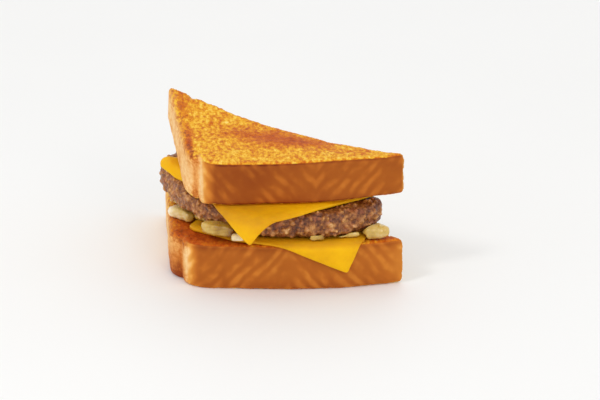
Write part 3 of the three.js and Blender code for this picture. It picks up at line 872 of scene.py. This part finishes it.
# the bed's core, and the chopped pieces that stand out of its rim where there is room
onion_core = solid_copy("onion_bed", "onion_core")
even_skin(onion_core, CORE_VOXEL)
points, normals = points_and_normals(onion_core.data)
under_patty = PATTY_UNDERSIDE + points[:, :2] @ np.array(PATTY_SLOPE) - ONION_BASE
hidden = (points[:, 0] < -44) * (inside_cut(points, CUT_FROM) > 2)  # by the left piece
keep(onion_core.data, "rim", (np.abs(normals[:, 2]) < 0.6) * (under_patty > 0.8) * ~hidden)
keep(onion_core.data, "thickness", np.clip(under_patty, 0.4, 8))
onion_chopped = plain_object("onion_chopped", onion_core.data.copy())
grow(onion_chopped, onion_bed_tree(), Material=onion_material)
even_skin(onion_chopped, CHOPPED_VOXEL)
onion_chopped.data.materials.clear()
onion_chopped.data.materials.append(onion_material)
cut_flush(onion_chopped, CUT_FROM, 0.6)
grow(onion_core, onion_tree, Material=onion_material, Lumps=0.5)
for piece in (onion_core, onion_chopped):
    sink(piece)
    points, _ = points_and_normals(piece.data)
    drift = [0.62 + 0.45 * wavy(point, 2.2, 6) for point in points]
    keep(piece.data, "cooked", np.array(drift))
    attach(piece, "root")
    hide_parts("onion_bed")


def square_up(piece, blockiness):
    """Fills a rounded piece out towards a block, or with less than none draws its ends in."""
    points, _ = points_and_normals(piece.data)
    middle = (points.max(axis=0) + points.min(axis=0)) / 2
    half_size = np.ptp(points, axis=0) / 2
    share = np.clip((points - middle) / half_size, -1, 1)
    points = middle + half_size * np.sign(share) * np.abs(share) ** (1 - blockiness)
    move_points(piece, points)


# how cooked each larger piece is at its left and right end, and how blocky it has stayed
for node, left_end, right_end, blockiness in (
    ("onion_left", 0.08, 0.95, -0.15), ("onion_front_left", 0.52, 1.05, 0.2),
    ("onion_front_small", 0.15, 0.4, 0.25), ("onion_front_sliver", 0.7, 0.8, 0.1),
    ("onion_front_flat", 0.4, 0.65, 0.1), ("onion_right", 0.62, 0.42, -0.4),
):
    piece = solid_copy(node, "cooked_" + node)
    even_skin(piece, LARGER_VOXEL)
    square_up(piece, blockiness)
    even_skin(piece, LARGER_VOXEL, smoothing=4)
    grow(piece, onion_tree, Material=onion_material)
    points, _ = points_and_normals(piece.data)
    along = (points[:, 0] - points[:, 0].min()) / np.ptp(points[:, 0])
    keep(piece.data, "cooked", left_end + (right_end - left_end) * along)
    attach(piece, "root")
    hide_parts(node)


# Patty. Minced sausage meat, pressed flat and browned on the griddle. Its side is craggy
# with loose crumbs of meat; the knife leaves the back flat and paler.

PATTY_CORE_VOXEL = 0.9 * MM
PATTY_VOXEL = 0.52 * MM
CORE_INSET = 0.45 * MM               # the core is this much smaller, to leave room for crumbs
CRUMB_HEIGHT = 1.2                   # a usual crumb stands this far out of it


def mince_tree():
    """Crumbs of meat set at random over a core. Sizes in mm."""
    tree, given, result = tree_with_inputs("mince", {
        "Spacing": ("NodeSocketFloat", 1.7),
        "Smallest": ("NodeSocketFloat", 1.0),
        "Largest": ("NodeSocketFloat", 3.2),
        "Seed": ("NodeSocketInt", 11),
        "Material": ("NodeSocketMaterial", None),
    })
    points = put(tree, "GeometryNodeDistributePointsOnFaces", {
        "Mesh": given["Geometry"], "Distance Min": sums(tree, "MULTIPLY", given["Spacing"], MM),
        "Density Max": 9e5, "Seed": given["Seed"],
    }, distribute_method="POISSON").outputs[0]
    crumb = put(tree, "GeometryNodeMeshIcoSphere", {"Radius": 0.5, "Subdivisions": 2}).outputs[0]
    share = put(tree, "FunctionNodeRandomValue", {2: 0.0, 3: 1.0, "Seed": 1}, data_type="FLOAT")
    share = sums(tree, "POWER", share.outputs[1], 2.2)
    range_of_sizes = sums(tree, "SUBTRACT", given["Largest"], given["Smallest"])
    size = sums(tree, "MULTIPLY_ADD", share, range_of_sizes, given["Smallest"])
    size = sums(tree, "MULTIPLY", size, stored(tree, "loose"))
    shape = put(tree, "FunctionNodeRandomValue", {
        0: (0.8, 0.7, 0.6), 1: (1.9, 1.2, 1.0), "Seed": 2,
    }, data_type="FLOAT_VECTOR").outputs[0]
    turn = put(tree, "FunctionNodeRandomValue", {
        0: (0, 0, 0), 1: (2 * math.pi,) * 3, "Seed": 3,
    }, data_type="FLOAT_VECTOR").outputs[0]
    crumbs = put(tree, "GeometryNodeInstanceOnPoints", {
        "Points": points, "Instance": crumb, "Rotation": turn,
        "Scale": vector_sums(tree, "SCALE", shape, factor=sums(tree, "MULTIPLY", size, MM)),
    }).outputs[0]
    real = put(tree, "GeometryNodeRealizeInstances", {"Geometry": crumbs}).outputs[0]
    where = from_foot(tree, put(tree, "GeometryNodeInputPosition").outputs[0])
    rough = raise_surface(tree, real, sums(tree, "MULTIPLY", spread(tree, where, 1.7, 3), 0.5))
    both = put(tree, "GeometryNodeJoinGeometry")
    tree.links.new(given["Geometry"], both.inputs[0])
    tree.links.new(rough, both.inputs[0])
    finish_tree(tree, both.outputs[0], given["Material"], result)
    return tree


def paint_patty(tree, where):
    """Grey-brown to tan, with painted shade in the pits between its crumbs and painted light on their
    tops, lighter towards the left, with pinker patches.
    """
    raised, cut = stored(tree, "raised"), stored(tree, "cut")
    split = put(tree, "ShaderNodeSeparateXYZ", {0: where}).outputs
    tone = remap(tree, split["X"], -50, -20, 0.54, 0.46)
    tone = sums(tree, "MULTIPLY_ADD", spread(tree, where, 8), 0.07, tone)
    tone = sums(tree, "MULTIPLY_ADD", spread(tree, where, 4.5, 3, 0.6), 0.12, tone)
    tone = sums(tree, "MULTIPLY_ADD", spread(tree, where, 1.8, 5, 0.75), 0.36, tone)
    # painted shade in the low pits and painted light on the high crumbs
    tone = sums(tree, "MULTIPLY_ADD", raised, 0.3, tone)
    tone = sums(tree, "MULTIPLY_ADD", cut, 0.06, tone, clamp=True)
    meat = ramp(tree, tone, [
        (0.0, (54, 22, 8)), (0.25, (108, 54, 20)), (0.45, (160, 98, 42)),
        (0.65, (202, 142, 76)), (0.82, (232, 184, 122)), (1.0, (248, 218, 174)),
    ])
    pink = remap(tree, grain(tree, where, 3.6, 2), 0.5, 0.68)
    meat = blended(tree, sums(tree, "MULTIPLY", pink, 0.4), meat, srgb(174, 96, 60))
    roughness = remap(tree, grain(tree, where, 1.3), 0.35, 0.65, 0.3, 0.6)
    even = {
        "Subsurface Weight": 0.10, "Subsurface Scale": 1.0 * MM, "Subsurface Radius": (1.0, 0.4, 0.25),
        "IOR": 1.42, "Specular IOR Level": 0.4, "Coat Weight": 0.35, "Coat Roughness": 0.1,
    }
    return meat, roughness, grain(tree, where, 0.7, 4, 0.7), 0.3, even


patty = solid_copy("patty", "patty_minced")
even_skin(patty, PATTY_CORE_VOXEL)
points, normals = points_and_normals(patty.data)
for vertex, normal in zip(patty.data.vertices, normals):
    vertex.co -= Vector(normal) * CORE_INSET

# its crumbs are smaller at the cut and on the griddled faces
on_cut = 1 - smooth(inside_cut(points, CUT_FROM), 0, 1)
on_face = smooth(np.abs(normals[:, 2]), 0.5, 0.9)
keep(patty.data, "loose", 1 - 0.35 * on_cut - 0.3 * on_face)

# how far the grown surface stands out of the core tells its high spots from its low ones
core = bvhtree.BVHTree.FromObject(patty, bpy.context.evaluated_depsgraph_get())
grow(patty, mince_tree())
even_skin(patty, PATTY_VOXEL)
points, _ = points_and_normals(patty.data)
raised = np.array([core.find_nearest(vertex.co)[3] for vertex in patty.data.vertices]) / MM
keep(patty.data, "raised", np.clip(raised / CRUMB_HEIGHT, 0, 1.4) - 0.6)
keep(patty.data, "cut", 1 - smooth(inside_cut(points, CUT_FROM), 0, 1.2))
patty.data.materials.clear()
patty.data.materials.append(food_material("sausage meat", paint_patty))
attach(patty, "root")
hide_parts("patty")


# Floor and light. A pale table in an evenly white room. A soft lamp shines from above left, a
# larger one from the front right and a weak one from behind.

TABLE_REACH = 3.0

table_top = plain_object("table_top", bpy.data.meshes.new("table_top"))
table_corners = [
    (TABLE_REACH * x, TABLE_REACH * y, 0) for x, y in ((-1, -1), (1, -1), (1, 1), (-1, 1))
]
table_top.data.from_pydata(table_corners, [], [(0, 1, 2, 3)])


def paint_table(tree, where):
    tone = grain(tree, where, 200, 2)
    colour = blended(tree, tone, srgb(243, 243, 242), srgb(246, 246, 245))
    roughness = remap(tree, tone, 0, 1, 0.55, 0.65)
    return colour, roughness, grain(tree, where, 3), 0.02, {"Specular IOR Level": 0.3}


table_top.data.materials.append(food_material("pale table", paint_table))


def soft_lamp(name, place, size, power, colour):
    """A round lamp turned towards the food."""
    lamp = bpy.data.lights.new(name, "AREA")
    lamp.shape = "DISK"
    lamp.size = size
    lamp.energy = power
    lamp.color = colour
    made = bpy.data.objects.new(name, lamp)
    made.location = place
    made.rotation_euler = (Vector(place) - Vector((0, 0, 0.03))).to_track_quat("Z", "Y").to_euler()
    bpy.context.scene.collection.objects.link(made)


soft_lamp("key", (-0.8, -0.6, 1.1), 0.3, 3.4, (1.0, 0.985, 0.96))
soft_lamp("fill", (0.5, -1.3, 0.7), 0.6, 2.6, (1.0, 0.985, 0.97))
soft_lamp("back", (0.3, 1.1, 1.0), 0.9, 1.4, (1.0, 0.99, 0.97))

world = bpy.data.worlds.new("studio")
world.use_nodes = True
world.node_tree.nodes["Background"].inputs["Color"].default_value = (1, 1, 1, 1)
world.node_tree.nodes["Background"].inputs["Strength"].default_value = 0.86
bpy.context.scene.world = world
bpy.context.scene.view_settings.view_transform = "Standard"
